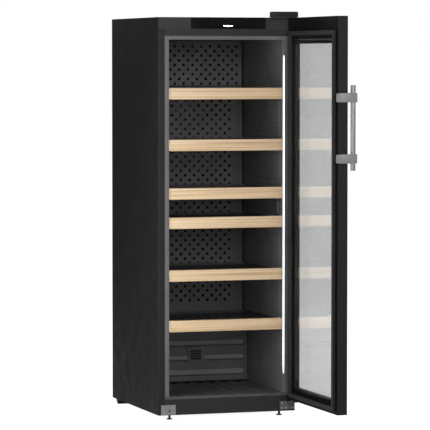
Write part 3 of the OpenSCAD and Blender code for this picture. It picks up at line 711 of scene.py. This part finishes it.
# %% All finishes
finishes = {
    "black_steel": grained("black_steel", (0.0085, 0.0085, 0.0088), 0.5, 700, 0.03 * mm, gloss=0.2),
    "front_rail_steel": grained("front_rail_steel", (0.011, 0.011, 0.0115), 0.5, 700, 0.03 * mm,
                                gloss=0.3),
    "back_sheet": grained("back_sheet", (0.03, 0.03, 0.033), 0.5, 600, 0.03 * mm),
    "zinc_sheet": scratched("zinc_sheet", (0.42, 0.43, 0.44), 0.42, (1, 1, 1), 60),
    "liner_plastic": grained("liner_plastic", (0.09, 0.09, 0.092), 0.36, 1400, 0.02 * mm),
    # The cover's raised bands are lightened in colour: a painted highlight where light falls on
    # them.
    "cover_plastic": lighten_as_painted_highlight(grained("cover_plastic", (0.058, 0.058, 0.059), 0.45, 1400, 0.03 * mm),
                          "pressed", (0.13, 0.13, 0.132)),
    "floor_plastic": grained("floor_plastic", (0.05, 0.05, 0.051), 0.5, 1400, 0.03 * mm, gloss=0.3),
    # The duct behind the perforated covers is near black: painted shade, so the cover's holes look
    # dark.
    "duct_black": grained("duct_black", (0.004, 0.004, 0.004), 0.8, 1400, 0.03 * mm, gloss=0.1),
    "hinge_cover_plastic": grained("hinge_cover_plastic", (0.006, 0.006, 0.006), 0.4, 1200,
                                   0.02 * mm, gloss=0.25),
    "foam": grained("foam", (0.78, 0.70, 0.42), 0.9, 300, 0.4 * mm),
    "fascia_plastic": grained("fascia_plastic", (0.017, 0.017, 0.0175), 0.5, 1200, 0.02 * mm,
                              gloss=0.3),
    "panel_black": grained("panel_black", (0.003, 0.003, 0.0033), 0.25, 200, 0.002 * mm,
                           gloss=0.15),
    "light_diffuser": lit_diffuser("light_diffuser", 5),
    "circuit_board": grained("circuit_board", (0.03, 0.16, 0.07), 0.4, 500, 0.05 * mm, 0.4),
    "hinge_steel": grained("hinge_steel", (0.07, 0.07, 0.075), 0.45, 800, 0.02 * mm),
    "grey_plate": scratched("grey_plate", (0.26, 0.265, 0.27), 0.4, (0.05, 1, 1)),
    "screw_steel": scratched("screw_steel", (0.34, 0.345, 0.35), 0.4, (1, 1, 1), 700),
    "foot_plastic": grained("foot_plastic", (0.02, 0.02, 0.021), 0.6, 1200, 0.03 * mm),
    "roller_plastic": grained("roller_plastic", (0.018, 0.018, 0.019), 0.6, 1200, 0.03 * mm),
    "compressor_shell": grained("compressor_shell", (0.015, 0.015, 0.016), 0.35, 500, 0.04 * mm),
    "mount_rubber": grained("mount_rubber", (0.03, 0.03, 0.03), 0.75, 1000, 0.05 * mm),
    "dish_plastic": grained("dish_plastic", (0.04, 0.04, 0.042), 0.55, 1000, 0.03 * mm),
    "coil_steel": grained("coil_steel", (0.015, 0.015, 0.016), 0.4, 900, 0.03 * mm),
    "copper": scratched("copper", (0.62, 0.27, 0.13), 0.32, (1, 1, 1), 200),
    "inlet_plastic": grained("inlet_plastic", (0.015, 0.015, 0.016), 0.5, 1200, 0.03 * mm),
    # The fins are dark: partly a black coat, partly painted shade behind the cover's holes.
    "fin_aluminium": scratched("fin_aluminium", (0.03, 0.03, 0.032), 0.5, (1, 1, 0.05)),
    "fan_plastic": grained("fan_plastic", (0.025, 0.025, 0.027), 0.5, 1200, 0.03 * mm),
    "spacer_plastic": grained("spacer_plastic", (0.02, 0.02, 0.021), 0.55, 1200, 0.03 * mm),
    "beech": beech("beech"),
    "rack_steel": grained("rack_steel", (0.02, 0.02, 0.022), 0.32, 900, 0.02 * mm),
    "door_skin": grained("door_skin", (0.010, 0.010, 0.0105), 0.5, 700, 0.03 * mm, gloss=0.2),
    "door_plastic": grained("door_plastic", (0.003, 0.003, 0.003), 0.35, 1200, 0.004 * mm,
                            gloss=0.08),
    "gasket_rubber": grained("gasket_rubber", (0.008, 0.008, 0.0082), 0.8, 1500, 0.04 * mm),
    "tinted_glass": tinted_glass("tinted_glass"),
    "spacer_black": grained("spacer_black", (0.006, 0.006, 0.006), 0.5, 1200, 0.02 * mm),
    "bush_plastic": grained("bush_plastic", (0.7, 0.68, 0.62), 0.45, 1200, 0.02 * mm, 0.04),
    "stainless": scratched("stainless", (0.27, 0.272, 0.276), 0.5, (1, 1, 0.03)),
}
print("finishes", len(finishes))

# %% [markdown]
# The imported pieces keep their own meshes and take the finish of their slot. The new pieces do the
# same through the slot that each was given.

# %% Dress every piece
for node, piece in frame["nodes"].items():
    piece.data.materials.clear()
    piece.data.materials.append(finishes[slot_of[node]])
for piece, slot in new_pieces:
    piece.data.materials.append(finishes[slot])
print("new pieces", len(new_pieces))

# %% [markdown]
# ## The floor
# A wide pale floor takes the soft shadow under the feet.

# %% Floor
floor_half = 60.0
floor_glow_strength = 0.96
floor_mesh = bpy.data.meshes.new("floor")
floor_mesh.from_pydata([(-floor_half, -floor_half, 0), (floor_half, -floor_half, 0),
                        (floor_half, floor_half, 0), (-floor_half, floor_half, 0)],
                       [], [[0, 1, 2, 3]])
floor = bpy.data.objects.new("floor", floor_mesh)
bpy.context.scene.collection.objects.link(floor)
floor_paint, floor_shader = finish("floor_paint", (0.8, 0.8, 0.8), 0.8, Specular_IOR_Level=0.0)
floor_shader.inputs["Emission Color"].default_value = (1, 1, 1, 1)
floor_nodes, floor_links = floor_paint.node_tree.nodes, floor_paint.node_tree.links
floor_rays = floor_nodes.new("ShaderNodeLightPath")
floor_seen = floor_nodes.new("ShaderNodeMath")
floor_seen.operation = "MAXIMUM"
floor_glow = floor_nodes.new("ShaderNodeMath")
floor_glow.operation = "MULTIPLY"
floor_glow.inputs[1].default_value = floor_glow_strength
floor_links.new(floor_rays.outputs["Is Camera Ray"], floor_seen.inputs[0])
floor_links.new(floor_rays.outputs["Is Transmission Ray"], floor_seen.inputs[1])
floor_links.new(floor_seen.outputs[0], floor_glow.inputs[0])
floor_links.new(floor_glow.outputs[0], floor_shader.inputs["Emission Strength"])
floor_mesh.materials.append(floor_paint)

# %% End
print("scene built")
